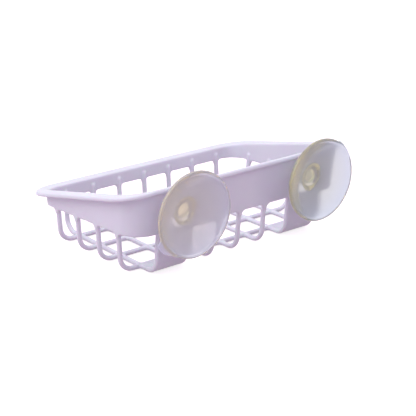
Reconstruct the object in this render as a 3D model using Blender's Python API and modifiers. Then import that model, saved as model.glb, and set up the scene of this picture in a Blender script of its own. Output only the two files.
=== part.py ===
"""Soap rack: a moulded wire-look basket that hangs on two soft suction cups.

The basket is one moulding: a sloping rolled rim, a solid band below it, round bars
that come down from the band and cross in a grid as the floor, and two solid rear
panels. Each panel has a keyhole. The knob of a suction cup goes in at the keyhole's
wide end and its neck slides up into the narrow slot.

Metres, +Z up. X runs along the rack, +Y points at the wall that the cups hold to.
The rack stands on z = 0, centred on the origin.
"""
import math

import bmesh
import bpy
from mathutils import Vector

# Rim, measured over its outer edge
RIM_LENGTH = 0.182
RIM_DEPTH = 0.1175
RIM_REAR_HEIGHT = 0.058
RIM_FRONT_HEIGHT = 0.031
RIM_SIDE_OVERHANG = 0.0065
RIM_FRONT_OVERHANG = 0.0077
RIM_REAR_OVERHANG = 0.0016
RIM_THICKNESS = 0.0022
RIM_ROLL = 0.0022
RIM_FRONT_RADIUS = 0.024
RIM_REAR_RADIUS = 0.020

# Rim section from its underside out to the edge and back to the crest, as shares of
# the overhang, of the thickness and of the roll
RIM_SECTION_SHARES = (
    (0.62, 1.00, 0.45),
    (0.80, 1.00, 0.74),
    (0.93, 0.97, 0.98),
    (0.99, 0.72, 1.00),
    (1.00, 0.35, 1.00),
    (0.97, 0.00, 0.95),
    (0.86, 0.00, 0.60),
    (0.72, 0.00, 0.32),
    (0.54, 0.00, 0.09),
    (0.35, 0.00, 0.00),
)
RIM_UNDERSIDE_SHARE = 0.25

# Inner edge of the rim, as shares of the wall and of the roll
RIM_INNER_SHARES = (
    (0.45, 0.15),
    (0.80, 0.30),
    (1.00, 0.60),
)

# Band below the rim
WALL = 0.0021
DRAFT = math.radians(4.0)
BAND_REAR_EDGE = 0.0283
BAND_FRONT_EDGE = 0.0233
BAND_FRONT_RADIUS = 0.0185
BAND_REAR_RADIUS = 0.0165
CORNER_STEPS = 12

# Bars and floor grid
BAR_DIAMETER = 0.0031
BAR_ROUNDING = 4
BAR_INSET = 0.0018
BAR_BEND = 0.0090
BAR_RISE = 0.0036
BAR_PITCH = 0.0213
ROW_PITCH = 0.0219
FIRST_ROW_TO_FRONT = 0.0285
FOOT_TRIM = 0.00025
LENGTH_BAR_LIFT = 0.0002
BEND_STEPS = 5

# Webs that round the corners of the gaps where the bars meet the band. Their inner
# face keeps out of the plane of the bars' centres, where the cuts would leave open edges.
WEB_RADIUS = 0.0030
WEB_OUTER_RECESS = 0.0003
WEB_INNER_RECESS = 0.00012
WEB_LAP = 0.0010
WEB_STEPS = 4

# Rear panels and their keyholes
PANEL_THICKNESS = 0.0021
PANEL_RECESS = 0.00015
PANEL_LAP = 0.0050
PANEL_SIDE_LAP = 0.0004
PANEL_INNER_REACH = 0.0099
PANEL_OUTER_REACH = 0.0125
SLOT_CLEARANCE = 0.0003
ENTRY_CLEARANCE = 0.0005
ENTRY_DROP = 0.0110
KEYHOLE_STEPS = 20

# Suction cups
CUP_DIAMETER = 0.055
CUP_TO_END = 0.0385
CUP_BELOW_RIM = 0.015
CUP_STAND_OFF = 0.0155
LIP_EDGE = 0.0020
LIP_FLAT = 0.0016
BOWL_INNER_DEPTH = 0.0088
BOWL_OUTER_DEPTH = 0.0112
HUB_DIAMETER = 0.015
HUB_FILLET = 0.0012
NECK_DIAMETER = 0.0092
KNOB_DIAMETER = 0.0128
KNOB_LENGTH = 0.0046
SEAT_CLEARANCE = 0.0003
TURN_STEPS = 40

# Pull tab on each cup's lip, which leans back from the wall so that fingers can take it
TAB_LENGTH = 0.0050
TAB_LEAN = math.radians(60.0)
TAB_HALF_ANGLE = math.radians(17.0)
TAB_THICKNESS = 0.0013
TAB_CORNER_SHARE = 0.3
TAB_LIP_SHARE = 0.9
TAB_STEPS = 6
LEFT_TAB_ANGLE = math.radians(-38.0)
RIGHT_TAB_ANGLE = math.radians(134.0)

# Shares of the cup's lip, bowl and knob sizes that shape its turned section
LIP_INSET_SHARE = 0.125
LIP_FACE_SHARE = 0.17
LIP_BACK_SHARES = (0.25, 1.15)
BOWL_INNER_BULGE_SHARE = 0.20
BOWL_OUTER_BULGE_SHARE = 0.125
KNOB_SHARES = (
    (0.93, 0.00),
    (1.00, 0.12),
    (1.00, 0.45),
    (0.96, 0.66),
    (0.86, 0.82),
    (0.70, 0.92),
    (0.50, 0.97),
)
BOWL_INNER_STEPS = 8
BOWL_OUTER_STEPS = 6

# How far a cutter runs past what it cuts, and how near two points are made one
OVERRUN = 0.004
MERGE_DISTANCE = 0.00001
SHARP_ANGLE = math.radians(40.0)

# Places that follow from the sizes above
OVERALL_DEPTH = RIM_DEPTH + CUP_STAND_OFF
LIP_Y = OVERALL_DEPTH / 2
FRONT_Y = -OVERALL_DEPTH / 2
REAR_Y = FRONT_Y + RIM_DEPTH
RIM_SLOPE = (RIM_REAR_HEIGHT - RIM_FRONT_HEIGHT) / RIM_DEPTH
BAR_RADIUS = BAR_DIAMETER / 2
BAR_FLOOR_Z = BAR_RADIUS - FOOT_TRIM
CUP_RADIUS = CUP_DIAMETER / 2
CUP_X = RIM_LENGTH / 2 - CUP_TO_END
CUP_AXIS_HEIGHT = RIM_REAR_HEIGHT - CUP_BELOW_RIM
PANEL_INNER_X = CUP_X - PANEL_INNER_REACH
PANEL_OUTER_X = CUP_X + PANEL_OUTER_REACH
BARS_EACH_SIDE = round(PANEL_INNER_X / BAR_PITCH) - 1
ROW_COUNT = int((RIM_DEPTH - FIRST_ROW_TO_FRONT) / ROW_PITCH)


def wall_inset(height):
    """How far the drafted walls have drawn in at a height, from the rear rim down."""
    return (RIM_REAR_HEIGHT - height) * math.tan(DRAFT)


def side_face(height):
    return RIM_LENGTH / 2 - RIM_SIDE_OVERHANG - wall_inset(height)


def front_face(height):
    return FRONT_Y + RIM_FRONT_OVERHANG + wall_inset(height)


def rear_face(height):
    return REAR_Y - RIM_REAR_OVERHANG - wall_inset(height)


def rim_height(y):
    """Height of the rim's crest, which slopes down towards the front."""
    return RIM_FRONT_HEIGHT + (y - FRONT_Y) * RIM_SLOPE


def band_edge_height(y):
    """Height of the band's lower edge, a little lower at the front."""
    along = (y - FRONT_Y) / RIM_DEPTH
    return BAND_FRONT_EDGE + (BAND_REAR_EDGE - BAND_FRONT_EDGE) * along


def new_collection(name):
    collection = bpy.data.collections.new(name)
    bpy.context.scene.collection.children.link(collection)
    return collection


def make_material(name, colour, roughness):
    material = bpy.data.materials.new(name)
    material.use_nodes = True
    shader = material.node_tree.nodes["Principled BSDF"]
    shader.inputs["Base Color"].default_value = (*colour, 1.0)
    shader.inputs["Roughness"].default_value = roughness
    shader.inputs["Metallic"].default_value = 0.0
    material.diffuse_color = (*colour, 1.0)
    return material


def object_from_bmesh(name, shape, collection):
    bmesh.ops.recalc_face_normals(shape, faces=shape.faces)
    mesh = bpy.data.meshes.new(name)
    shape.to_mesh(mesh)
    shape.free()
    mesh.shade_smooth()
    mesh.set_sharp_from_angle(angle=SHARP_ANGLE)
    made = bpy.data.objects.new(name, mesh)
    collection.objects.link(made)
    return made


def mark_as_tool(tool):
    """A cutter or a shape that is joined in: it isn't part of the model itself."""
    tool.hide_render = True
    tool.display_type = "WIRE"


def add_boolean(target, tool, operation):
    modifier = target.modifiers.new(f"{operation.title()} {tool.name}", "BOOLEAN")
    modifier.operation = operation
    modifier.solver = "EXACT"
    modifier.object = tool
    mark_as_tool(tool)


def add_collection_boolean(target, tools, operation):
    """Join or cut with every object of a collection in one step."""
    modifier = target.modifiers.new(f"{operation.title()} {tools.name}", "BOOLEAN")
    modifier.operation = operation
    modifier.solver = "EXACT"
    modifier.operand_type = "COLLECTION"
    modifier.collection = tools
    for tool in tools.objects:
        mark_as_tool(tool)


def corner_loop(half_length, front_y, rear_y, front_radius, rear_radius):
    """A rounded rectangle in plan, anticlockwise from the front right corner."""
    corners = (
        (half_length - front_radius, front_y + front_radius, front_radius, -90.0),
        (half_length - rear_radius, rear_y - rear_radius, rear_radius, 0.0),
        (rear_radius - half_length, rear_y - rear_radius, rear_radius, 90.0),
        (front_radius - half_length, front_y + front_radius, front_radius, 180.0),
    )
    points = []
    for centre_x, centre_y, radius, start in corners:
        for step in range(CORNER_STEPS + 1):
            angle = math.radians(start + 90.0 * step / CORNER_STEPS)
            points.append((centre_x + radius * math.cos(angle), centre_y + radius * math.sin(angle)))
    return points


def band_loop(height_of, depth_into_wall):
    """A loop on the drafted wall, at a height that may vary with y."""
    plan = corner_loop(
        side_face(RIM_REAR_HEIGHT),
        front_face(RIM_REAR_HEIGHT),
        rear_face(RIM_REAR_HEIGHT),
        BAND_FRONT_RADIUS,
        BAND_REAR_RADIUS,
    )
    centre_y = (front_face(RIM_REAR_HEIGHT) + rear_face(RIM_REAR_HEIGHT)) / 2
    loop = []
    for x, y in plan:
        height = height_of(y)
        inset = wall_inset(height) + depth_into_wall
        half_length = side_face(RIM_REAR_HEIGHT)
        half_depth = rear_face(RIM_REAR_HEIGHT) - centre_y
        loop.append((
            x * (half_length - inset) / half_length,
            centre_y + (y - centre_y) * (half_depth - inset) / half_depth,
            height,
        ))
    return loop


def rim_loop(reach_share, drop):
    """A loop of the rolled rim, a share of the way from the band to the rim's edge."""
    overhang_left = 1.0 - reach_share
    plan = corner_loop(
        RIM_LENGTH / 2 - RIM_SIDE_OVERHANG * overhang_left,
        FRONT_Y + RIM_FRONT_OVERHANG * overhang_left,
        REAR_Y - RIM_REAR_OVERHANG * overhang_left,
        BAND_FRONT_RADIUS + (RIM_FRONT_RADIUS - BAND_FRONT_RADIUS) * reach_share,
        BAND_REAR_RADIUS + (RIM_REAR_RADIUS - BAND_REAR_RADIUS) * reach_share,
    )
    return [(x, y, rim_height(y) - drop) for x, y in plan]


def rim_and_band_section():
    """Loops round the section: up the outer face, over the rim and down the inside."""
    under = RIM_THICKNESS + RIM_ROLL * RIM_UNDERSIDE_SHARE
    loops = [
        band_loop(band_edge_height, 0),
        band_loop(lambda y: rim_height(y) - under, 0),
    ]
    for reach_share, thickness_share, roll_share in RIM_SECTION_SHARES:
        loops.append(rim_loop(reach_share, RIM_THICKNESS * thickness_share + RIM_ROLL * roll_share))
    for wall_share, roll_share in RIM_INNER_SHARES:
        drop = RIM_ROLL * roll_share
        loops.append(band_loop(lambda y, drop=drop: rim_height(y) - drop, WALL * wall_share))
    loops.append(band_loop(band_edge_height, WALL))
    return loops


def build_rim_and_band(collection):
    """The rim and the band as one ring, lofted because the rim is wider at its front."""
    loops = rim_and_band_section()
    shape = bmesh.new()
    rings = [[shape.verts.new(point) for point in loop] for loop in loops]
    count = len(rings[0])
    for ring, following in zip(rings, rings[1:] + rings[:1]):
        for index in range(count):
            neighbour = (index + 1) % count
            shape.faces.new((ring[index], ring[neighbour], following[neighbour], following[index]))
    return object_from_bmesh("basket", shape, collection)


def filleted_path(corners, radius, steps):
    """The corners of a path, with each inner corner rounded to a radius."""
    points = [Vector(corners[0])]
    for before, corner, after in zip(corners, corners[1:], corners[2:]):
        corner = Vector(corner)
        to_before = (Vector(before) - corner).normalized()
        to_after = (Vector(after) - corner).normalized()
        half_angle = to_before.angle(to_after) / 2
        tangent = radius / math.tan(half_angle)
        centre = corner + (to_before + to_after).normalized() * (radius / math.sin(half_angle))
        start = corner + to_before * tangent - centre
        end = corner + to_after * tangent - centre
        for step in range(steps + 1):
            points.append(centre + start.slerp(end, step / steps).normalized() * radius)
    points.append(Vector(corners[-1]))
    return points


def tube(name, points, collection):
    """A round bar along a path, as a closed mesh."""
    curve = bpy.data.curves.new(name, "CURVE")
    curve.dimensions = "3D"
    curve.bevel_depth = BAR_RADIUS
    curve.bevel_resolution = BAR_ROUNDING
    curve.use_fill_caps = True
    spline = curve.splines.new("POLY")
    spline.points.add(len(points) - 1)
    for target, point in zip(spline.points, points):
        target.co = (*point, 1.0)
    rod = bpy.data.objects.new(name, curve)
    collection.objects.link(rod)
    bpy.context.view_layer.update()
    evaluated = rod.evaluated_get(bpy.context.evaluated_depsgraph_get())
    mesh = bpy.data.meshes.new_from_object(evaluated)
    bpy.data.objects.remove(rod)
    return mesh


def join_meshes(name, meshes, collection):
    shape = bmesh.new()
    for mesh in meshes:
        shape.from_mesh(mesh)
        bpy.data.meshes.remove(mesh)
    bmesh.ops.remove_doubles(shape, verts=shape.verts, dist=MERGE_DISTANCE)
    return object_from_bmesh(name, shape, collection)


def depth_bar_path(x):
    """A bar from the front of the band, down, across the floor and up the rear."""
    front_top = band_edge_height(front_face(BAND_FRONT_EDGE)) + BAR_RISE
    rear_top = band_edge_height(rear_face(BAND_REAR_EDGE)) + BAR_RISE
    corners = (
        (x, front_face(front_top) + BAR_INSET, front_top),
        (x, front_face(BAR_FLOOR_Z) + BAR_INSET, BAR_FLOOR_Z),
        (x, rear_face(BAR_FLOOR_Z) - BAR_INSET, BAR_FLOOR_Z),
        (x, rear_face(rear_top) - BAR_INSET, rear_top),
    )
    return filleted_path(corners, BAR_BEND, BEND_STEPS)


def row_y(index):
    return FRONT_Y + FIRST_ROW_TO_FRONT + index * ROW_PITCH


def length_bar_path(y):
    """A bar from one end of the band, down, along the floor and up the other end.

    It lies a little above the bars that cross it. Equal bars that cross in one plane
    leave slivers where they join, and the cuts after that then leave open edges.
    """
    top = band_edge_height(y) + BAR_RISE
    floor = BAR_FLOOR_Z + LENGTH_BAR_LIFT
    corners = (
        (side_face(top) - BAR_INSET, y, top),
        (side_face(floor) - BAR_INSET, y, floor),
        (BAR_INSET - side_face(floor), y, floor),
        (BAR_INSET - side_face(top), y, top),
    )
    return filleted_path(corners, BAR_BEND, BEND_STEPS)


def depth_bar_places():
    """Bars at the pitch between the panels, and one along each edge of each panel."""
    places = [BAR_PITCH * index for index in range(-BARS_EACH_SIDE, BARS_EACH_SIDE + 1)]
    return [-PANEL_OUTER_X, -PANEL_INNER_X] + places + [PANEL_INNER_X, PANEL_OUTER_X]


def build_bars(collection):
    depth_meshes = [tube("depth_bar", depth_bar_path(x), collection) for x in depth_bar_places()]
    rows = [row_y(index) for index in range(ROW_COUNT)]
    length_meshes = [tube("length_bar", length_bar_path(y), collection) for y in rows]
    return [
        join_meshes("depth_bars", depth_meshes, collection),
        join_meshes("length_bars", length_meshes, collection),
    ]


def web_outline(edge_height):
    """Across the wall and up: a hollow curve on each side of the bar, up into the band."""
    core = BAR_RADIUS - WEB_OUTER_RECESS
    right = []
    for step in range(WEB_STEPS + 1):
        angle = math.pi / 2 * step / WEB_STEPS
        out = core + WEB_RADIUS * (1 - math.cos(angle))
        right.append((out, edge_height - WEB_RADIUS * (1 - math.sin(angle))))
    right.append((core + WEB_RADIUS, edge_height + WEB_LAP))
    return right + [(-out, height) for out, height in reversed(right)]


def add_web(shape, edge_height, place_of):
    """One web through the wall. place_of gives a point from across, height and depth."""
    outline = web_outline(edge_height)
    inner_depth = WALL - WEB_INNER_RECESS
    near = [shape.verts.new(place_of(out, height, WEB_OUTER_RECESS)) for out, height in outline]
    far = [shape.verts.new(place_of(out, height, inner_depth)) for out, height in outline]
    shape.faces.new(near)
    shape.faces.new(far[::-1])
    for index in range(len(outline)):
        following = (index + 1) % len(outline)
        shape.faces.new((near[following], near[index], far[index], far[following]))


def build_webs(collection):
    """A web at the top of each bar that a window lies beside."""
    shape = bmesh.new()
    front_edge = band_edge_height(front_face(BAND_FRONT_EDGE))
    rear_edge = band_edge_height(rear_face(BAND_REAR_EDGE))
    for x in depth_bar_places():
        add_web(shape, front_edge, lambda a, z, d, x=x: (x + a, front_face(z) + d, z))
        if abs(x) < PANEL_INNER_X - BAR_RADIUS:
            add_web(shape, rear_edge, lambda a, z, d, x=x: (x + a, rear_face(z) - d, z))
    for index in range(ROW_COUNT):
        y = row_y(index)
        edge = band_edge_height(y)
        add_web(shape, edge, lambda a, z, d, y=y: (side_face(z) - d, y + a, z))
        add_web(shape, edge, lambda a, z, d, y=y: (d - side_face(z), y + a, z))
    return object_from_bmesh("bar_webs", shape, collection)


def build_panel(name, side, collection):
    """A solid rear panel that curves under to the last row of the floor."""
    inset = PANEL_RECESS + PANEL_THICKNESS / 2
    floor_z = PANEL_THICKNESS / 2 + PANEL_RECESS
    top = BAND_REAR_EDGE + PANEL_LAP
    path = filleted_path(
        (
            (0, rear_face(top) - inset, top),
            (0, rear_face(floor_z) - inset, floor_z),
            (0, row_y(ROW_COUNT - 1) - PANEL_SIDE_LAP, floor_z),
        ),
        BAR_BEND,
        BEND_STEPS,
    )
    inner_x = side * (PANEL_INNER_X - PANEL_SIDE_LAP)
    outer_x = side * (PANEL_OUTER_X + PANEL_SIDE_LAP)
    shape = bmesh.new()
    inner = [shape.verts.new((inner_x, y, z)) for _, y, z in path]
    outer = [shape.verts.new((outer_x, y, z)) for _, y, z in path]
    for index in range(len(path) - 1):
        shape.faces.new((inner[index], outer[index], outer[index + 1], inner[index + 1]))
    panel = object_from_bmesh(name, shape, collection)
    wall = panel.modifiers.new("Wall", "SOLIDIFY")
    wall.thickness = PANEL_THICKNESS
    wall.offset = 0.0
    wall.use_even_offset = True
    return panel


def box(name, size, centre, collection):
    shape = bmesh.new()
    bmesh.ops.create_cube(shape, size=1.0)
    bmesh.ops.scale(shape, vec=size, verts=shape.verts)
    cutter = object_from_bmesh(name, shape, collection)
    cutter.location = centre
    return cutter


def arc(centre_x, centre_z, radius, start, end, steps):
    """Points of an upright arc, its angles counted from +X towards +Z."""
    points = []
    for step in range(steps + 1):
        angle = start + (end - start) * step / steps
        points.append((centre_x + radius * math.cos(angle), centre_z + radius * math.sin(angle)))
    return points


def build_keyhole(name, x, collection):
    """A keyhole's cutter: a narrow slot for the neck above a wide entry for the knob."""
    slot_radius = NECK_DIAMETER / 2 + SLOT_CLEARANCE
    entry_radius = KNOB_DIAMETER / 2 + ENTRY_CLEARANCE
    shoulder = math.asin(slot_radius / entry_radius)
    outline = arc(x, CUP_AXIS_HEIGHT, slot_radius, 0, math.pi, KEYHOLE_STEPS)
    outline += arc(
        x,
        CUP_AXIS_HEIGHT - ENTRY_DROP,
        entry_radius,
        math.pi / 2 + shoulder,
        math.tau + math.pi / 2 - shoulder,
        KEYHOLE_STEPS,
    )
    near_y = rear_face(CUP_AXIS_HEIGHT) - WALL / 2 - OVERRUN
    shape = bmesh.new()
    face = shape.faces.new([shape.verts.new((px, near_y, pz)) for px, pz in outline])
    moved = bmesh.ops.extrude_face_region(shape, geom=[face])
    far = [item for item in moved["geom"] if isinstance(item, bmesh.types.BMVert)]
    bmesh.ops.translate(shape, vec=(0, 2 * OVERRUN, 0), verts=far)
    return object_from_bmesh(name, shape, collection)


def build_basket(parts, joined, tools):
    basket = build_rim_and_band(parts)
    build_bars(joined)
    build_webs(joined)
    for name, side in (("left", 1), ("right", -1)):
        build_panel(f"{name}_panel", side, joined)
        build_keyhole(f"{name}_keyhole", side * CUP_X, tools)
    box("below_the_feet", (RIM_LENGTH, OVERALL_DEPTH, OVERRUN), (0, 0, -OVERRUN / 2), tools)
    add_collection_boolean(basket, joined, "UNION")
    weld = basket.modifiers.new("Merge slivers", "WELD")
    weld.merge_threshold = MERGE_DISTANCE
    add_collection_boolean(basket, tools, "DIFFERENCE")
    return basket


def bowl_curve(start, end, bulge, steps):
    """A smooth curve between two profile points, bowed away from the straight line."""
    start, end = Vector(start), Vector(end)
    run = end - start
    across = Vector((-run.y, run.x)).normalized() * bulge
    points = []
    for step in range(1, steps):
        share = step / steps
        points.append(tuple(start + run * share + across * (4 * share * (1 - share))))
    return points


def cup_profile():
    """Half of the cup's section: radius, and height towards the wall from the lip."""
    seat = CUP_STAND_OFF + RIM_REAR_OVERHANG + wall_inset(CUP_AXIS_HEIGHT)
    hub_radius = HUB_DIAMETER / 2
    neck_radius = NECK_DIAMETER / 2
    knob_radius = KNOB_DIAMETER / 2
    lean = hub_radius * math.tan(DRAFT)
    shoulder = -(seat - SEAT_CLEARANCE - lean)
    knob_face = -(seat + WALL + SEAT_CLEARANCE + knob_radius * math.tan(DRAFT))
    flat_inner = CUP_RADIUS - LIP_EDGE * LIP_INSET_SHARE - LIP_FLAT
    bowl_root = (hub_radius + HUB_FILLET, -BOWL_OUTER_DEPTH)
    bowl_top = (0, -BOWL_INNER_DEPTH)
    inner_bulge = -BOWL_INNER_DEPTH * BOWL_INNER_BULGE_SHARE
    outer_bulge = BOWL_OUTER_DEPTH * BOWL_OUTER_BULGE_SHARE
    edge_share, back_share = LIP_BACK_SHARES
    profile = [bowl_top]
    profile += bowl_curve(bowl_top, (flat_inner, 0), inner_bulge, BOWL_INNER_STEPS)
    profile += [(flat_inner, 0), (flat_inner + LIP_FLAT, 0)]
    profile += [(CUP_RADIUS, -LIP_EDGE * LIP_FACE_SHARE), (CUP_RADIUS, -LIP_EDGE)]
    profile += [(CUP_RADIUS - LIP_EDGE * edge_share, -LIP_EDGE * back_share)]
    profile += bowl_curve(profile[-1], bowl_root, outer_bulge, BOWL_OUTER_STEPS)
    profile += [bowl_root, (hub_radius, -BOWL_OUTER_DEPTH - HUB_FILLET)]
    profile += [(hub_radius, shoulder), (neck_radius, shoulder), (neck_radius, knob_face)]
    for radius_share, length_share in KNOB_SHARES:
        profile.append((knob_radius * radius_share, knob_face - KNOB_LENGTH * length_share))
    profile.append((0, knob_face - KNOB_LENGTH))
    return profile


def turned(name, profile, collection):
    """Turn a profile about the cup's axis, which is the object's Z."""
    shape = bmesh.new()
    verts = [shape.verts.new((radius, 0, height)) for radius, height in profile]
    for start, end in zip(verts, verts[1:]):
        shape.edges.new((start, end))
    mesh = bpy.data.meshes.new(name)
    shape.to_mesh(mesh)
    shape.free()
    made = bpy.data.objects.new(name, mesh)
    collection.objects.link(made)
    turn = made.modifiers.new("Turn", "SCREW")
    turn.axis = "Z"
    turn.angle = math.tau
    turn.steps = TURN_STEPS
    turn.render_steps = TURN_STEPS
    turn.use_merge_vertices = True
    turn.merge_threshold = MERGE_DISTANCE
    turn.use_smooth_shade = True
    return made


def tab_section(length):
    """The tab's section as radius and height: a root inside the lip, a bend, then the tab."""
    half = TAB_THICKNESS / 2
    middle = half - LIP_EDGE * TAB_LIP_SHARE
    mitre = half * math.tan(TAB_LEAN / 2)
    tip_radius = CUP_RADIUS + length * math.cos(TAB_LEAN)
    tip_height = middle - length * math.sin(TAB_LEAN)
    out, up = half * math.sin(TAB_LEAN), half * math.cos(TAB_LEAN)
    return (
        (CUP_RADIUS - LIP_EDGE, middle + half),
        (CUP_RADIUS + mitre, middle + half),
        (tip_radius + out, tip_height + up),
        (tip_radius - out, tip_height - up),
        (CUP_RADIUS - mitre, middle - half),
        (CUP_RADIUS - LIP_EDGE, middle - half),
    )


def build_tab(name, collection):
    """The section carried round a part of the lip, and shorter at both ends."""
    shape = bmesh.new()
    rings = []
    for step in range(TAB_STEPS + 1):
        angle = TAB_HALF_ANGLE * (2 * step / TAB_STEPS - 1)
        at_corner = step in (0, TAB_STEPS)
        length = TAB_LENGTH * (1 - TAB_CORNER_SHARE) if at_corner else TAB_LENGTH
        rings.append([
            shape.verts.new((radius * math.cos(angle), radius * math.sin(angle), height))
            for radius, height in tab_section(length)
        ])
    shape.faces.new(rings[0])
    shape.faces.new(rings[-1][::-1])
    for ring, following in zip(rings, rings[1:]):
        for index in range(len(ring)):
            neighbour = (index + 1) % len(ring)
            shape.faces.new((ring[index], ring[neighbour], following[neighbour], following[index]))
    return object_from_bmesh(name, shape, collection)


def build_cup(name, side, tab_angle, parts, tabs):
    """A suction cup, its origin at the centre of its lip, on the axis that it turns on."""
    cup = turned(name, cup_profile(), parts)
    tab = build_tab(f"{name}_tab", tabs)
    add_boolean(cup, tab, "UNION")
    for piece in (cup, tab):
        piece.rotation_euler = (-math.pi / 2, -tab_angle, 0)
        piece.location = (side * CUP_X, LIP_Y, CUP_AXIS_HEIGHT)
    return cup


def main():
    for item in list(bpy.data.objects):
        bpy.data.objects.remove(item)
    parts = new_collection("soap_rack")
    joined = new_collection("bars_and_panels")
    tools = new_collection("cutters")
    tabs = new_collection("pull_tabs")
    basket = build_basket(parts, joined, tools)
    basket.data.materials.append(make_material("lilac plastic", (0.70, 0.62, 0.76), 0.38))
    cups = (
        build_cup("suction_cup_left", 1, LEFT_TAB_ANGLE, parts, tabs),
        build_cup("suction_cup_right", -1, RIGHT_TAB_ANGLE, parts, tabs),
    )
    for cup in cups:
        finish = make_material(f"{cup.name} soft clear", (0.80, 0.77, 0.66), 0.20)
        cup.data.materials.append(finish)


main()
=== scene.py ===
import math

import bmesh
import bpy
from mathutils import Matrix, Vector


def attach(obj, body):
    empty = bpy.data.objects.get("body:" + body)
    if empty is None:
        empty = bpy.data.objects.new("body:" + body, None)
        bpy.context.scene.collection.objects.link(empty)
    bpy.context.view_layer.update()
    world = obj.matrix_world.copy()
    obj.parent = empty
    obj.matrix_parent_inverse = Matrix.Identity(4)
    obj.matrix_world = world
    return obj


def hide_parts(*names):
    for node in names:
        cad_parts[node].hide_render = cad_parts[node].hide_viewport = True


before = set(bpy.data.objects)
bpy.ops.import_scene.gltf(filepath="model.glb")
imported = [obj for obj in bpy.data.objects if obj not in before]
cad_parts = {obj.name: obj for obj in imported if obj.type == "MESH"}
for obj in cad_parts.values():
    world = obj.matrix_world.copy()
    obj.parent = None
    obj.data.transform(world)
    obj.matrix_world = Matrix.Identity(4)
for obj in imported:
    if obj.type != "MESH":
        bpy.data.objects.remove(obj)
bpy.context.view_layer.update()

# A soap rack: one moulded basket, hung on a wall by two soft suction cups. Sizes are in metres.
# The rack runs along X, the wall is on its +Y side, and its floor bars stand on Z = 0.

# Basket sizes. They are those of the solids, apart from these, which the photograph shows
# otherwise, with the solids' own in brackets: RIM_SIDE_OVERHANG (0.0065), RIM_ROLL (0.0022),
# BAND_FRONT_RADIUS (0.0185), KEYHOLE_ENTRY_RADIUS (0.0069), KEYHOLE_DROP (0.0110) and the webs
# where floor bars cross (none). WEB_RECESS is one value here and two in the solids (0.0003
# outside and 0.00012 inside).
RIM_LENGTH = 0.182
RIM_DEPTH = 0.1175
RIM_REAR_HEIGHT = 0.058
RIM_FRONT_HEIGHT = 0.031
RIM_SIDE_OVERHANG = 0.0050
RIM_FRONT_OVERHANG = 0.0077
RIM_REAR_OVERHANG = 0.0016
RIM_THICKNESS = 0.0022
RIM_ROLL = 0.0014
RIM_FRONT_RADIUS = 0.024
RIM_REAR_RADIUS = 0.020
WALL = 0.0021
DRAFT = math.radians(4.0)
BAND_REAR_EDGE = 0.0283
BAND_FRONT_EDGE = 0.0233
BAND_FRONT_RADIUS = 0.0120
BAND_REAR_RADIUS = 0.0165
BAR_RADIUS = 0.00155
BAR_INSET = 0.0018
BAR_BEND = 0.0090
BAR_RISE = 0.0036
BAR_PITCH = 0.0213
ROW_PITCH = 0.0219
ROW_COUNT = 4
FIRST_ROW_TO_FRONT = 0.0285
BAR_FLOOR_Z = 0.0013
ROW_LIFT = 0.0002
WEB_RADIUS = 0.0030
WEB_CORE = 0.00125
WEB_RECESS = 0.0001
CROSSING_WEB_THICKNESS = 0.0018
PANEL_THICKNESS = 0.0021
PANEL_RECESS = 0.00015
PANEL_LAP = 0.0050
PANEL_SIDE_LAP = 0.0004
PANEL_INNER_X = 0.0426
PANEL_OUTER_X = 0.0650
KEYHOLE_SLOT_RADIUS = 0.0049
KEYHOLE_ENTRY_RADIUS = 0.0052
KEYHOLE_DROP = 0.0065
CUTTER_LENGTH = 0.012

# The rim's section from its underside round to its crest: share of the overhang, then
# shares of the thickness and of the roll that it lies below the crest
RIM_SECTION_SHARES = (
    (0.25, 1.00, 0.28),
    (0.62, 1.00, 0.45),
    (0.80, 1.00, 0.74),
    (0.93, 0.97, 0.98),
    (0.99, 0.72, 1.00),
    (1.00, 0.35, 1.00),
    (0.97, 0.00, 0.95),
    (0.86, 0.00, 0.60),
    (0.72, 0.00, 0.32),
    (0.54, 0.00, 0.09),
    (0.35, 0.00, 0.00),
)
RIM_UNDERSIDE_SHARE = 0.25

# The rim's inner edge: share of the wall, then share of the roll below the crest
RIM_INNER_SHARES = (
    (0.45, 0.15),
    (0.80, 0.30),
    (1.00, 0.60),
)

# How finely the basket is made
CORNER_STEPS = 16
BEND_STEPS = 8
BAR_ROUNDING = 6
DOME_SEGMENTS = 24
DOME_RINGS = 16
WEB_ROUND_SIDES = 48
KEYHOLE_SIDES = 64
MOULD_VOXEL = 0.0006
MOULD_SMOOTHING = 3
MOULD_TRIANGLES = 190000

# About what the smoothing takes off a round bar, put back all over after it
SMOOTHING_LOSS = 0.00012

# Suction cups. Their sizes too are those of the solids, apart from BOWL_INNER_DEPTH (0.0088),
# BOWL_INNER_BOW (0.00176), HUB_FILLET (0.0012), the step inside the lip (none), the tab's
# narrower tip and RIGHT_TAB_ANGLE (134 degrees). The small rounds, the knob's dome and the tab's
# thickness differ from the solids' by up to a few tenths of a millimetre.
CUP_X = 0.0525
CUP_Z = 0.043
CUP_RADIUS = 0.0275
LIP_Y = 0.0665
LIP_FLAT = 0.0016
LIP_INSET = 0.00025
LIP_EDGE = 0.0020
LIP_STEP = 0.0010
LIP_STEP_ROUND = 0.0003
BOWL_INNER_DEPTH = 0.0056
BOWL_OUTER_DEPTH = 0.0112
BOWL_INNER_BOW = 0.0011
BOWL_OUTER_BOW = 0.0014
HUB_RADIUS = 0.0075
HUB_FILLET = 0.0022
HUB_END = 0.0173
HUB_ROUND = 0.0004
NECK_RADIUS = 0.0046
NECK_ROUND = 0.0003
KNOB_FACE = 0.0210
KNOB_FACE_ROUND = 0.0002
KNOB_RADIUS = 0.0064
KNOB_ROUND = 0.0006
KNOB_END = 0.0256
MIDDLE_RADIUS = 0.0006
TAB_HALF_ANGLE = math.radians(17.0)
TAB_LENGTH = 0.0050
TAB_LEAN = math.radians(60.0)
TAB_TIP_SHARE = 0.60
LEFT_TAB_ANGLE = math.radians(-38.0)
RIGHT_TAB_ANGLE = math.radians(142.0)

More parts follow.
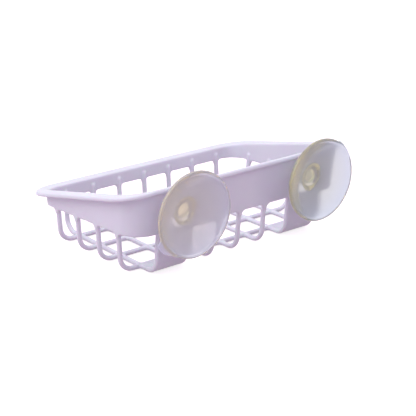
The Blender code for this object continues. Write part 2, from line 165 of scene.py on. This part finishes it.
# The lip's outer edge from the wall back, and the corner behind it, as shares of LIP_EDGE
LIP_EDGE_SHARES = (0.2, 0.5, 1.0)
LIP_CORNER_INWARD = 0.25
LIP_CORNER_BACK = 1.15

# A face further out than this share of the cup's radius is on the lip's outer edge
ON_EDGE_SHARE = 0.99

# The knob's dome: share of its radius, then how far short of its end
KNOB_DOME = (
    (1.00, 0.0026),
    (0.96, 0.0016),
    (0.86, 0.0008),
    (0.70, 0.0003),
    (0.45, 0.0001),
)

# How finely the cups are made
CUP_SIDES = 96
BOWL_INNER_STEPS = 14
BOWL_OUTER_STEPS = 12
TAB_STEPS = 3
CUP_SUBDIVISIONS = 1

# Camera, as fitted to the photograph
CAMERA_AZIMUTH = math.radians(140.11)
CAMERA_ELEVATION = math.radians(19.931)
CAMERA_ROLL = math.radians(0.481)
CAMERA_DISTANCE = 0.834
CAMERA_SHIFT_RIGHT = -0.033274
CAMERA_SHIFT_UP = -0.006717
CAMERA_LENS = 116.05
SENSOR_WIDTH = 36.0
CAMERA_NEAR = 0.01
CAMERA_FAR = 20.0

# Studio. All colours are linear.
WHITE = (1, 1, 1, 1)
ROOM_COLOUR = (0.97, 0.97, 1.0, 1)
ROOM_STRENGTH = 0.75
BACKDROP_STRENGTH = 1.0
FLOOR_SIZE = 6.0
FLOOR_Z = -0.0004
FLOOR_COLOUR = (0.50, 0.39, 0.46, 1)
FLOOR_GLOW = 0.80
LAMP_AIM = Vector((0, 0, 0.03))

# Lilac plastic: its clouds, its grain and the light that spreads inside it
LILAC_DEEP = (0.665, 0.640, 0.752, 1)
LILAC_PALE = (0.700, 0.680, 0.786, 1)
LILAC_DEEP_PLACE = 0.30
LILAC_PALE_PLACE = 0.72
LILAC_ROUGHNESS = (0.34, 0.46)
CLOUD_SCALE = 38.0
CLOUD_DETAIL = 3.0
GRAIN_SCALE = 900.0
GRAIN_DETAIL = 2.0
GRAIN_STRENGTH = 0.05
GRAIN_HEIGHT = 0.0002
INNER_LIGHT_SHARE = 0.30
INNER_LIGHT_REACH = (0.0040, 0.0016, 0.0030)

# Soft vinyl: its haze, and the yellow that it gains with depth
VINYL_ROUGHNESS = (0.15, 0.26)
VINYL_IOR = 1.45
HAZE_SCALE = 70.0
HAZE_DETAIL = 2.0
RIPPLE_STRENGTH = 0.04
RIPPLE_HEIGHT = 0.0005
DEPTH_COLOUR = (0.978, 0.930, 0.68, 1)
DEPTH_DENSITY = 150.0

# Places closer than this are taken as the same
TOUCHING = 0.00001

# How a round cutter stands
UPRIGHT = (0, 0, 0)
FRONT_TO_REAR = (math.pi / 2, 0, 0)

# Places that follow from the sizes above
FRONT_Y = -LIP_Y
REAR_Y = FRONT_Y + RIM_DEPTH
SIDE_FACE = RIM_LENGTH / 2 - RIM_SIDE_OVERHANG
FRONT_FACE = FRONT_Y + RIM_FRONT_OVERHANG
REAR_FACE = REAR_Y - RIM_REAR_OVERHANG


def deselect_all():
    bpy.ops.object.select_all(action="DESELECT")


def take(*pieces):
    """Select these pieces alone, with the first as the active one."""
    deselect_all()
    for piece in pieces:
        piece.select_set(True)
    bpy.context.view_layer.objects.active = pieces[0]


def start_editing(piece):
    take(piece)
    bpy.ops.object.mode_set(mode="EDIT")
    bpy.ops.mesh.select_mode(type="VERT")
    bpy.ops.mesh.select_all(action="DESELECT")


def start_editing_all(piece):
    start_editing(piece)
    bpy.ops.mesh.select_all(action="SELECT")


def stop_editing():
    bpy.ops.object.mode_set(mode="OBJECT")


def pick_points(piece, wanted):
    """Select the points of the piece being edited that wanted says yes to."""
    bpy.ops.mesh.select_mode(type="VERT")
    mesh = bmesh.from_edit_mesh(piece.data)
    for point in mesh.verts:
        point.select = wanted(point)
    mesh.select_flush_mode()
    bmesh.update_edit_mesh(piece.data)


def pick_faces(piece, wanted):
    """Select the faces of the piece being edited that wanted says yes to."""
    bpy.ops.mesh.select_mode(type="FACE")
    mesh = bmesh.from_edit_mesh(piece.data)
    for face in mesh.faces:
        face.select = wanted(face)
    mesh.select_flush_mode()
    bmesh.update_edit_mesh(piece.data)


def apply_place(piece):
    take(piece)
    bpy.ops.object.transform_apply(location=True, rotation=True, scale=True)


def apply_modifier(piece, modifier):
    take(piece)
    bpy.ops.object.modifier_apply(modifier=modifier.name)


def join(pieces):
    take(*pieces)
    bpy.ops.object.join()
    return pieces[0]


def turn_faces_out(piece):
    start_editing_all(piece)
    bpy.ops.mesh.normals_make_consistent(inside=False)
    stop_editing()


def copy_of(piece, name):
    twin = piece.copy()
    twin.data = piece.data.copy()
    twin.name = name
    bpy.context.scene.collection.objects.link(twin)
    return twin


def cut(piece, cutter):
    difference = piece.modifiers.new("cut", "BOOLEAN")
    difference.operation = "DIFFERENCE"
    difference.solver = "EXACT"
    difference.object = cutter
    apply_modifier(piece, difference)


def throw_away(piece):
    bpy.data.objects.remove(piece)


def round_cutter(sides, radius, place, turn):
    """A cylinder to cut with."""
    deselect_all()
    bpy.ops.mesh.primitive_cylinder_add(
        vertices=sides, radius=radius, depth=CUTTER_LENGTH, location=place, rotation=turn,
    )
    return bpy.context.object


def cut_web_round(web, place, turn):
    """Cut one of a web's rounds."""
    cutter = round_cutter(WEB_ROUND_SIDES, WEB_RADIUS, place, turn)
    cut(web, cutter)
    throw_away(cutter)


def wall_draw_in(height):
    """How far the leaning walls have drawn in at a height, from the rear rim down."""
    return (RIM_REAR_HEIGHT - height) * math.tan(DRAFT)


def rim_height(y):
    """Height of the rim's crest, which slopes down towards the front."""
    slope = (RIM_REAR_HEIGHT - RIM_FRONT_HEIGHT) / RIM_DEPTH
    return RIM_FRONT_HEIGHT + (y - FRONT_Y) * slope


def band_edge_height(y):
    """Height of the band's lower edge, a little lower at the front."""
    along = (y - FRONT_Y) / RIM_DEPTH
    return BAND_FRONT_EDGE + (BAND_REAR_EDGE - BAND_FRONT_EDGE) * along


def is_corner(point, half, y):
    """Whether a point lies at y and half a length to either side of the middle."""
    return abs(point.co.y - y) < TOUCHING and abs(abs(point.co.x) - half) < TOUCHING


def line_round(front, rear, front_radius, rear_radius):
    """One line round the basket: a plate with its four corners in place and rounded.

    front and rear each give half the length across, the place y and the height z.
    """
    deselect_all()
    bpy.ops.mesh.primitive_plane_add(size=2)
    line = bpy.context.object
    start_editing(line)
    for (half, y, z), side in ((front, -1), (rear, 1)):
        pick_points(line, lambda point: point.co.y == side)
        bpy.ops.transform.resize(value=(half, 1, 1), center_override=(0, 0, 0))
        bpy.ops.transform.translate(value=(0, y - side, z))
    for (half, y, z), radius in ((front, front_radius), (rear, rear_radius)):
        pick_points(line, lambda point: is_corner(point, half, y))
        bpy.ops.mesh.bevel(offset=radius, segments=CORNER_STEPS, affect="VERTICES")
    bpy.ops.mesh.select_all(action="SELECT")
    bpy.ops.mesh.delete(type="ONLY_FACE")
    stop_editing()
    return line


def rim_line(reach_share, drop):
    """A line of the rolled rim, a share of the way from the band to the rim's edge."""
    held_back = 1.0 - reach_share
    half = RIM_LENGTH / 2 - RIM_SIDE_OVERHANG * held_back
    front_y = FRONT_Y + RIM_FRONT_OVERHANG * held_back
    rear_y = REAR_Y - RIM_REAR_OVERHANG * held_back
    return line_round(
        (half, front_y, rim_height(front_y) - drop),
        (half, rear_y, rim_height(rear_y) - drop),
        BAND_FRONT_RADIUS + (RIM_FRONT_RADIUS - BAND_FRONT_RADIUS) * reach_share,
        BAND_REAR_RADIUS + (RIM_REAR_RADIUS - BAND_REAR_RADIUS) * reach_share,
    )


def wall_line(height_at, depth):
    """A line on the leaning wall, at a height that changes from front to rear."""
    ends = []
    for y, inward in ((FRONT_FACE, 1), (REAR_FACE, -1)):
        inset = wall_draw_in(height_at(y)) + depth
        ends.append((SIDE_FACE - inset, y + inward * inset, height_at(y)))
    return line_round(*ends, BAND_FRONT_RADIUS, BAND_REAR_RADIUS)


def rim_and_band():
    """The rim and the band as one ring: its lines, bridged one to the next."""
    under = RIM_THICKNESS + RIM_ROLL * RIM_UNDERSIDE_SHARE
    lines = [wall_line(band_edge_height, 0), wall_line(lambda y: rim_height(y) - under, 0)]
    for reach_share, thickness_share, roll_share in RIM_SECTION_SHARES:
        drop = RIM_THICKNESS * thickness_share + RIM_ROLL * roll_share
        lines.append(rim_line(reach_share, drop))
    for wall_share, roll_share in RIM_INNER_SHARES:
        lines.append(wall_line(lambda y: rim_height(y) - RIM_ROLL * roll_share, WALL * wall_share))
    lines.append(wall_line(band_edge_height, WALL))
    count = len(lines)
    points = len(lines[0].data.vertices)
    ring = join(lines)
    ring.name = "rim_and_band"
    start_editing(ring)
    for index in range(count):
        near, far = index, (index + 1) % count
        pick_points(ring, lambda point: point.index // points in (near, far))
        bpy.ops.mesh.bridge_edge_loops()
    stop_editing()
    turn_faces_out(ring)
    return ring


def bent_wire(name, corners):
    """A wire through the corners, with its inner corners rounded."""
    deselect_all()
    bpy.ops.mesh.primitive_plane_add(size=2)
    wire = bpy.context.object
    wire.name = name
    start_editing_all(wire)
    bpy.ops.mesh.merge(type="CENTER")
    bpy.ops.transform.translate(value=corners[0])
    for corner, following in zip(corners, corners[1:]):
        bpy.ops.mesh.extrude_region_move(TRANSFORM_OT_translate={"value": following - corner})
    pick_points(wire, lambda point: len(point.link_edges) == 2)
    turn = (corners[1] - corners[0]).angle(corners[2] - corners[1])
    offset = BAR_BEND * math.tan(turn / 2)
    bpy.ops.mesh.bevel(offset=offset, segments=BEND_STEPS, affect="VERTICES")
    stop_editing()
    return wire


def bent_bar(name, corners):
    """A round bar along a bent wire, with a dome on each end."""
    bar = bent_wire(name, corners)
    take(bar)
    bpy.ops.object.convert(target="CURVE")
    bar = bpy.context.object
    bar.data.bevel_depth = BAR_RADIUS
    bar.data.bevel_resolution = BAR_ROUNDING
    bar.data.use_fill_caps = True
    bpy.ops.object.convert(target="MESH")
    bar = bpy.context.object
    domes = []
    for end in (corners[0], corners[-1]):
        deselect_all()
        bpy.ops.mesh.primitive_uv_sphere_add(
            segments=DOME_SEGMENTS, ring_count=DOME_RINGS, radius=BAR_RADIUS, location=end,
        )
        domes.append(bpy.context.object)
        apply_place(domes[-1])
    return join([bar] + domes)


def bar_front_to_rear(x):
    front_top = band_edge_height(FRONT_FACE) + BAR_RISE
    rear_top = band_edge_height(REAR_FACE) + BAR_RISE
    return bent_bar("bar_front_to_rear", [
        Vector((x, FRONT_FACE + wall_draw_in(front_top) + BAR_INSET, front_top)),
        Vector((x, FRONT_FACE + wall_draw_in(BAR_FLOOR_Z) + BAR_INSET, BAR_FLOOR_Z)),
        Vector((x, REAR_FACE - wall_draw_in(BAR_FLOOR_Z) - BAR_INSET, BAR_FLOOR_Z)),
        Vector((x, REAR_FACE - wall_draw_in(rear_top) - BAR_INSET, rear_top)),
    ])


def bar_end_to_end(y):
    top = band_edge_height(y) + BAR_RISE
    floor = BAR_FLOOR_Z + ROW_LIFT
    reach_top = SIDE_FACE - wall_draw_in(top) - BAR_INSET
    reach_floor = SIDE_FACE - wall_draw_in(floor) - BAR_INSET
    return bent_bar("bar_end_to_end", [
        Vector((reach_top, y, top)),
        Vector((reach_floor, y, floor)),
        Vector((-reach_floor, y, floor)),
        Vector((-reach_top, y, top)),
    ])


def bar_places():
    return [-PANEL_OUTER_X, -PANEL_INNER_X, -BAR_PITCH, 0, BAR_PITCH, PANEL_INNER_X, PANEL_OUTER_X]


def row_places():
    return [FRONT_Y + FIRST_ROW_TO_FRONT + index * ROW_PITCH for index in range(ROW_COUNT)]


def corner_web():
    """A web that rounds the window corners beside a bar: a plate less two rounds.

    It stands at the origin with its top where the band's lower edge goes, facing -Y.
    """
    half = WEB_CORE + WEB_RADIUS
    height = WEB_RADIUS + PANEL_SIDE_LAP
    thickness = WALL - 2 * WEB_RECESS
    deselect_all()
    bpy.ops.mesh.primitive_cube_add(size=1, location=(0, WALL / 2, height / 2 - WEB_RADIUS))
    web = bpy.context.object
    web.name = "corner_web"
    web.scale = (2 * half, thickness, height)
    apply_place(web)
    for side in (1, -1):
        cut_web_round(web, (side * half, 0, -WEB_RADIUS), FRONT_TO_REAR)
    return web


def place_web(pattern, place, turn):
    """A copy of the web with its outer face at a place on the wall, turned about Z."""
    web = copy_of(pattern, "corner_web_copy")
    web.location = place
    web.rotation_euler = (0, 0, turn)
    apply_place(web)
    return web


def corner_webs():
    pattern = corner_web()
    webs = []
    front_edge = band_edge_height(FRONT_FACE)
    rear_edge = band_edge_height(REAR_FACE)
    front_y = FRONT_FACE + wall_draw_in(front_edge)
    rear_y = REAR_FACE - wall_draw_in(rear_edge)
    for x in bar_places():
        webs.append(place_web(pattern, (x, front_y, front_edge), 0))
        if abs(x) < PANEL_INNER_X:
            webs.append(place_web(pattern, (x, rear_y, rear_edge), math.pi))
    for y in row_places():
        edge = band_edge_height(y)
        side_x = SIDE_FACE - wall_draw_in(edge)
        webs.append(place_web(pattern, (side_x, y, edge), math.pi / 2))
        webs.append(place_web(pattern, (-side_x, y, edge), -math.pi / 2))
    throw_away(pattern)
    return webs


def crossing_web():
    """A web that rounds the corners where two floor bars cross: a plate less four rounds."""
    half = WEB_CORE + WEB_RADIUS
    deselect_all()
    bpy.ops.mesh.primitive_cube_add(size=1)
    web = bpy.context.object
    web.name = "crossing_web"
    web.scale = (2 * half, 2 * half, CROSSING_WEB_THICKNESS)
    apply_place(web)
    for x in (half, -half):
        for y in (half, -half):
            cut_web_round(web, (x, y, 0), UPRIGHT)
    return web


def crossing_webs():
    pattern = crossing_web()
    webs = []
    for x in bar_places():
        for y in row_places():
            web = copy_of(pattern, "crossing_web_copy")
            web.location = (x, y, BAR_FLOOR_Z + ROW_LIFT / 2)
            apply_place(web)
            webs.append(web)
    throw_away(pattern)
    return webs


def rear_panel(side):
    """A solid rear panel that curves under to the last row of the floor.

    Its middle lies as far above Z = 0 as it lies inside the wall's face.
    """
    inset = floor = PANEL_RECESS + PANEL_THICKNESS / 2
    top = BAND_REAR_EDGE + PANEL_LAP
    start_x = side * (PANEL_INNER_X - PANEL_SIDE_LAP)
    width = side * (PANEL_OUTER_X - PANEL_INNER_X + 2 * PANEL_SIDE_LAP)
    panel = bent_wire("rear_panel", [
        Vector((start_x, REAR_FACE - wall_draw_in(top) - inset, top)),
        Vector((start_x, REAR_FACE - wall_draw_in(floor) - inset, floor)),
        Vector((start_x, row_places()[-1] - PANEL_SIDE_LAP, floor)),
    ])
    start_editing_all(panel)
    bpy.ops.mesh.extrude_region_move(TRANSFORM_OT_translate={"value": (width, 0, 0)})
    stop_editing()
    turn_faces_out(panel)
    thickness = panel.modifiers.new("thickness", "SOLIDIFY")
    thickness.thickness = PANEL_THICKNESS
    thickness.offset = 0
    thickness.use_even_offset = True
    apply_modifier(panel, thickness)
    turn_faces_out(panel)
    return panel


def keyhole_cutters(side):
    """The keyhole's narrow slot, drawn down from the neck's place, and its wide entry."""
    cutters = []
    wall_y = REAR_FACE - wall_draw_in(CUP_Z)
    for radius, drop in ((KEYHOLE_SLOT_RADIUS, 0), (KEYHOLE_ENTRY_RADIUS, KEYHOLE_DROP)):
        place = (side * CUP_X, wall_y, CUP_Z - drop)
        cutters.append(round_cutter(KEYHOLE_SIDES, radius, place, FRONT_TO_REAR))
        apply_place(cutters[-1])
    slot = cutters[0]
    start_editing(slot)
    pick_points(slot, lambda point: point.co.z < CUP_Z - TOUCHING)
    bpy.ops.transform.translate(value=(0, 0, -KEYHOLE_DROP))
    stop_editing()
    return cutters


def moulded_basket(finish):
    """The whole basket as one moulding: its pieces fused, with a small fillet where they meet."""
    ring = rim_and_band()
    panels = {side: rear_panel(side) for side in (1, -1)}
    for side, panel in panels.items():
        for cutter in keyhole_cutters(side):
            cut(ring, cutter)
            cut(panel, cutter)
            throw_away(cutter)
    bars = [bar_front_to_rear(x) for x in bar_places()]
    bars += [bar_end_to_end(y) for y in row_places()]
    webs = corner_webs() + crossing_webs()
    basket = join([ring] + bars + webs + list(panels.values()))
    basket.name = "moulded_basket"
    fused = basket.modifiers.new("fused", "REMESH")
    fused.mode = "VOXEL"
    fused.voxel_size = MOULD_VOXEL
    apply_modifier(basket, fused)
    softened = basket.modifiers.new("softened", "SMOOTH")
    softened.iterations = MOULD_SMOOTHING
    apply_modifier(basket, softened)
    start_editing_all(basket)
    bpy.ops.transform.shrink_fatten(value=SMOOTHING_LOSS)
    pick_points(basket, lambda point: point.co.z < 0)
    bpy.ops.transform.resize(value=(1, 1, 0), center_override=(0, 0, 0))
    stop_editing()
    triangles = 2 * len(basket.data.polygons)
    if triangles > MOULD_TRIANGLES:
        thinned = basket.modifiers.new("thinned", "DECIMATE")
        thinned.ratio = MOULD_TRIANGLES / triangles
        apply_modifier(basket, thinned)
    take(basket)
    bpy.ops.object.shade_smooth()
    paint(basket, finish)
    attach(basket, "basket")
    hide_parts("basket")


def bowed(start, end, bow, steps):
    """Rings between two rings of the bowl, on a curve bowed away from the straight line."""
    start, end = Vector(start), Vector(end)
    run = end - start
    across = Vector((-run.y, run.x)).normalized() * bow
    rings = []
    for step in range(1, steps):
        share = step / steps
        rings.append(tuple(start + run * share + across * (4 * share * (1 - share))))
    return rings


def cup_rings():
    """The cup's section from the middle of its bowl to its knob.

    Each ring gives its radius and its depth behind the lip.
    """
    flat_inner = CUP_RADIUS - LIP_INSET - LIP_FLAT
    step_foot = (flat_inner - LIP_STEP_ROUND, LIP_STEP)
    bowl_root = (HUB_RADIUS + HUB_FILLET, BOWL_OUTER_DEPTH)
    rings = [(MIDDLE_RADIUS, BOWL_INNER_DEPTH)]
    rings += bowed(rings[0], step_foot, BOWL_INNER_BOW, BOWL_INNER_STEPS)
    rings += [step_foot, (flat_inner, LIP_STEP_ROUND), (flat_inner + LIP_STEP_ROUND, 0)]
    rings += [(CUP_RADIUS - LIP_INSET, 0)]
    rings += [(CUP_RADIUS, LIP_EDGE * share) for share in LIP_EDGE_SHARES]
    rings += [(CUP_RADIUS - LIP_EDGE * LIP_CORNER_INWARD, LIP_EDGE * LIP_CORNER_BACK)]
    rings += bowed(rings[-1], bowl_root, -BOWL_OUTER_BOW, BOWL_OUTER_STEPS)
    rings += [bowl_root, (HUB_RADIUS, BOWL_OUTER_DEPTH + HUB_FILLET)]
    rings += [(HUB_RADIUS, HUB_END - HUB_ROUND), (HUB_RADIUS - HUB_ROUND, HUB_END)]
    rings += [(NECK_RADIUS + NECK_ROUND, HUB_END), (NECK_RADIUS, HUB_END + NECK_ROUND)]
    rings += [(NECK_RADIUS, KNOB_FACE - KNOB_FACE_ROUND)]
    rings += [(NECK_RADIUS + KNOB_FACE_ROUND, KNOB_FACE), (KNOB_RADIUS - KNOB_ROUND, KNOB_FACE)]
    rings += [(KNOB_RADIUS, KNOB_FACE + KNOB_ROUND)]
    rings += [(KNOB_RADIUS * share, KNOB_END - short) for share, short in KNOB_DOME]
    rings += [(MIDDLE_RADIUS, KNOB_END)]
    return rings


def turned_cup(name, x):
    """A cup turned about its axis: each ring is drawn out of the one before."""
    rings = cup_rings()
    radius, depth = rings[0]
    deselect_all()
    bpy.ops.mesh.primitive_circle_add(
        vertices=CUP_SIDES, radius=radius, fill_type="NGON",
        location=(x, LIP_Y - depth, CUP_Z), rotation=(math.pi / 2, 0, 0),
    )
    cup = bpy.context.object
    cup.name = name
    apply_place(cup)
    start_editing_all(cup)
    for next_radius, next_depth in rings[1:]:
        back = (0, depth - next_depth, 0)
        bpy.ops.mesh.extrude_region_move(TRANSFORM_OT_translate={"value": back})
        share = next_radius / radius
        centre = (x, LIP_Y - next_depth, CUP_Z)
        bpy.ops.transform.resize(value=(share, 1, share), center_override=centre)
        radius, depth = next_radius, next_depth
    stop_editing()
    return cup


def pull_tab(cup, x, angle):
    """The pull tab, drawn out of the lip's edge and leaning back from the wall."""
    outward = Vector((math.cos(angle), 0, math.sin(angle)))
    lean = outward * math.cos(TAB_LEAN) + Vector((0, -math.sin(TAB_LEAN), 0))
    axis = Vector((x, 0, CUP_Z))

    def on_the_edge(face):
        middle = face.calc_center_median()
        arm = Vector((middle.x, 0, middle.z)) - axis
        depth = LIP_Y - middle.y
        far_out = arm.length > CUP_RADIUS * ON_EDGE_SHARE
        on_lip = LIP_EDGE * LIP_EDGE_SHARES[0] < depth < LIP_EDGE
        return far_out and on_lip and arm.angle(outward) < TAB_HALF_ANGLE

    start_editing(cup)
    pick_faces(cup, on_the_edge)
    step = TAB_LENGTH / TAB_STEPS
    narrowing = TAB_TIP_SHARE ** (1 / TAB_STEPS)
    bpy.ops.mesh.extrude_region_move(TRANSFORM_OT_translate={"value": outward * LIP_INSET})
    for index in range(TAB_STEPS):
        bpy.ops.mesh.extrude_region_move(TRANSFORM_OT_translate={"value": lean * step})
        tip = axis + outward * CUP_RADIUS + Vector((0, LIP_Y, 0)) + lean * step * (index + 1)
        bpy.ops.transform.resize(value=(narrowing, narrowing, narrowing), center_override=tip)
    stop_editing()


def suction_cup(cup, x, tab_angle, body, finish):
    pull_tab(cup, x, tab_angle)
    turn_faces_out(cup)
    softened = cup.modifiers.new("softened", "SUBSURF")
    softened.levels = CUP_SUBDIVISIONS
    softened.render_levels = CUP_SUBDIVISIONS
    apply_modifier(cup, softened)
    take(cup)
    bpy.ops.object.shade_smooth()
    paint(cup, finish)
    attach(cup, body)
    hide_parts(body)


def both_suction_cups(left_finish, right_finish):
    """One cup is turned and copied, and each gets its own tab and finish."""
    left = turned_cup("soft_cup_left", CUP_X)
    right = copy_of(left, "soft_cup_right")
    start_editing_all(right)
    bpy.ops.transform.translate(value=(-2 * CUP_X, 0, 0))
    stop_editing()
    suction_cup(left, CUP_X, LEFT_TAB_ANGLE, "suction_cup_left", left_finish)
    suction_cup(right, -CUP_X, RIGHT_TAB_ANGLE, "suction_cup_right", right_finish)


def principled(name):
    material = bpy.data.materials.new(name)
    material.use_nodes = True
    return material, material.node_tree, material.node_tree.nodes["Principled BSDF"]


def noise(tree, scale, detail):
    """Noise that is fixed to the piece."""
    place = tree.nodes.new("ShaderNodeTexCoord")
    texture = tree.nodes.new("ShaderNodeTexNoise")
    texture.inputs["Scale"].default_value = scale
    texture.inputs["Detail"].default_value = detail
    tree.links.new(place.outputs["Object"], texture.inputs["Vector"])
    return texture.outputs["Fac"]


def vary_roughness(tree, shader, pattern, limits):
    """Roughness that follows a pattern from the lower limit to the upper one."""
    lowest, highest = limits
    spread = tree.nodes.new("ShaderNodeMapRange")
    spread.inputs["To Min"].default_value = lowest
    spread.inputs["To Max"].default_value = highest
    tree.links.new(pattern, spread.inputs["Value"])
    tree.links.new(spread.outputs["Result"], shader.inputs["Roughness"])


def add_bump(tree, shader, pattern, strength, height):
    bump = tree.nodes.new("ShaderNodeBump")
    bump.inputs["Strength"].default_value = strength
    bump.inputs["Distance"].default_value = height
    tree.links.new(pattern, bump.inputs["Height"])
    tree.links.new(bump.outputs["Normal"], shader.inputs["Normal"])


def lilac_plastic():
    """Moulded lilac plastic: a faint cloudiness in the colour and a fine, soft unevenness."""
    material, tree, shader = principled("lilac moulded plastic")
    clouds = noise(tree, CLOUD_SCALE, CLOUD_DETAIL)
    tint = tree.nodes.new("ShaderNodeValToRGB")
    deep, pale = tint.color_ramp.elements
    deep.position, deep.color = LILAC_DEEP_PLACE, LILAC_DEEP
    pale.position, pale.color = LILAC_PALE_PLACE, LILAC_PALE
    tree.links.new(clouds, tint.inputs["Fac"])
    tree.links.new(tint.outputs["Color"], shader.inputs["Base Color"])
    vary_roughness(tree, shader, clouds, LILAC_ROUGHNESS)
    add_bump(tree, shader, noise(tree, GRAIN_SCALE, GRAIN_DETAIL), GRAIN_STRENGTH, GRAIN_HEIGHT)
    shader.inputs["Subsurface Weight"].default_value = INNER_LIGHT_SHARE
    shader.inputs["Subsurface Radius"].default_value = INNER_LIGHT_REACH
    shader.inputs["Subsurface Scale"].default_value = 1.0
    return material


def soft_clear_vinyl(name, clearness, tint):
    """Clear vinyl gone cloudy: pale where it is thin, and yellower where it is deep."""
    material, tree, shader = principled(name)
    haze = noise(tree, HAZE_SCALE, HAZE_DETAIL)
    vary_roughness(tree, shader, haze, VINYL_ROUGHNESS)
    add_bump(tree, shader, haze, RIPPLE_STRENGTH, RIPPLE_HEIGHT)
    # The base colour is the vinyl's own pale tint, but in the right cup it also holds a painted
    # blue backdrop, as if seen through the vinyl
    shader.inputs["Base Color"].default_value = tint
    shader.inputs["Transmission Weight"].default_value = clearness
    shader.inputs["IOR"].default_value = VINYL_IOR
    depth = tree.nodes.new("ShaderNodeVolumeAbsorption")
    depth.inputs["Color"].default_value = DEPTH_COLOUR
    depth.inputs["Density"].default_value = DEPTH_DENSITY
    tree.links.new(depth.outputs["Volume"], tree.nodes["Material Output"].inputs["Volume"])
    return material


def paint(piece, material):
    piece.data.materials.clear()
    piece.data.materials.append(material)


def make_camera():
    back = Vector((
        math.sin(CAMERA_AZIMUTH) * math.cos(CAMERA_ELEVATION),
        -math.cos(CAMERA_AZIMUTH) * math.cos(CAMERA_ELEVATION),
        math.sin(CAMERA_ELEVATION),
    ))
    level_right = Vector((0, 0, 1)).cross(back).normalized()
    level_up = back.cross(level_right)
    right = math.cos(CAMERA_ROLL) * level_right + math.sin(CAMERA_ROLL) * level_up
    up = math.cos(CAMERA_ROLL) * level_up - math.sin(CAMERA_ROLL) * level_right
    data = bpy.data.cameras.new("camera")
    data.sensor_width = SENSOR_WIDTH
    data.sensor_fit = "HORIZONTAL"
    data.lens = CAMERA_LENS
    data.clip_start = CAMERA_NEAR
    data.clip_end = CAMERA_FAR
    camera = bpy.data.objects.new("camera", data)
    bpy.context.scene.collection.objects.link(camera)
    place = Vector((0, LIP_Y, CUP_Z)) + back * CAMERA_DISTANCE
    place += right * CAMERA_SHIFT_RIGHT + up * CAMERA_SHIFT_UP
    turn = camera.matrix_world.copy()
    for row in range(3):
        turn[row][0], turn[row][1], turn[row][2] = right[row], up[row], back[row]
        turn[row][3] = place[row]
    camera.matrix_world = turn
    bpy.context.scene.camera = camera


def seen_directly(tree):
    """1 for the camera, in gloss and through the cups, and 0 for plain light."""
    path = tree.nodes.new("ShaderNodeLightPath")
    seen = path.outputs["Is Camera Ray"]
    for ray in ("Is Glossy Ray", "Is Transmission Ray"):
        either = tree.nodes.new("ShaderNodeMath")
        either.operation = "MAXIMUM"
        tree.links.new(seen, either.inputs[0])
        tree.links.new(path.outputs[ray], either.inputs[1])
        seen = either.outputs["Value"]
    return seen


def white_studio():
    world = bpy.data.worlds.new("white studio")
    bpy.context.scene.world = world
    world.use_nodes = True
    tree = world.node_tree
    room_light = tree.nodes["Background"]
    room_light.inputs["Color"].default_value = ROOM_COLOUR
    room_light.inputs["Strength"].default_value = ROOM_STRENGTH
    backdrop = tree.nodes.new("ShaderNodeBackground")
    backdrop.inputs["Color"].default_value = WHITE
    backdrop.inputs["Strength"].default_value = BACKDROP_STRENGTH
    mix = tree.nodes.new("ShaderNodeMixShader")
    tree.links.new(seen_directly(tree), mix.inputs["Fac"])
    tree.links.new(room_light.outputs["Background"], mix.inputs[1])
    tree.links.new(backdrop.outputs["Background"], mix.inputs[2])
    tree.links.new(mix.outputs["Shader"], tree.nodes["World Output"].inputs["Surface"])


def white_glow(tree):
    """White that shows only where the floor is seen directly."""
    brightness = tree.nodes.new("ShaderNodeMath")
    brightness.operation = "MULTIPLY"
    brightness.inputs[1].default_value = FLOOR_GLOW
    tree.links.new(seen_directly(tree), brightness.inputs[0])
    light = tree.nodes.new("ShaderNodeEmission")
    light.inputs["Color"].default_value = WHITE
    tree.links.new(brightness.outputs["Value"], light.inputs["Strength"])
    return light.outputs["Emission"]


def white_floor():
    """A pale floor that shows as white, also through the cups, and takes a shadow."""
    deselect_all()
    bpy.ops.mesh.primitive_plane_add(size=FLOOR_SIZE, location=(0, 0, FLOOR_Z))
    floor = bpy.context.object
    floor.name = "floor"
    material, tree, shader = principled("white floor")
    shader.inputs["Base Color"].default_value = FLOOR_COLOUR
    shader.inputs["Roughness"].default_value = 1.0
    shader.inputs["Specular IOR Level"].default_value = 0.0
    both = tree.nodes.new("ShaderNodeAddShader")
    tree.links.new(shader.outputs["BSDF"], both.inputs[0])
    tree.links.new(white_glow(tree), both.inputs[1])
    tree.links.new(both.outputs["Shader"], tree.nodes["Material Output"].inputs["Surface"])
    paint(floor, material)


def soft_box(name, place, power, size, colour):
    data = bpy.data.lights.new(name, "AREA")
    data.energy = power
    data.color = colour
    data.size = size
    lamp = bpy.data.objects.new(name, data)
    bpy.context.scene.collection.objects.link(lamp)
    lamp.location = place
    lamp.rotation_mode = "QUATERNION"
    lamp.rotation_quaternion = (LAMP_AIM - lamp.location).to_track_quat("-Z", "Y")


bpy.context.scene.view_settings.view_transform = "Standard"
make_camera()
white_studio()
white_floor()
soft_box(
    "soft_box_side", place=(1.0, -0.25, 0.9), power=7.6, size=0.9, colour=(0.95, 1.0, 0.97),
)
soft_box(
    "soft_box_above", place=(-0.1, 0.35, 1.25), power=6.0, size=1.2, colour=(0.97, 1.0, 1.0),
)

moulded_basket(lilac_plastic())
# Both cups are one vinyl in two finishes: the right cup's bluer tint and greater clearness paint
# in a blue backdrop seen through it
both_suction_cups(
    soft_clear_vinyl("soft vinyl, less clear", clearness=0.66, tint=(0.82, 0.83, 1.00, 1)),
    soft_clear_vinyl("soft vinyl, clearer, painted blue backdrop", clearness=0.76, tint=(0.70, 0.77, 0.94, 1)),
)
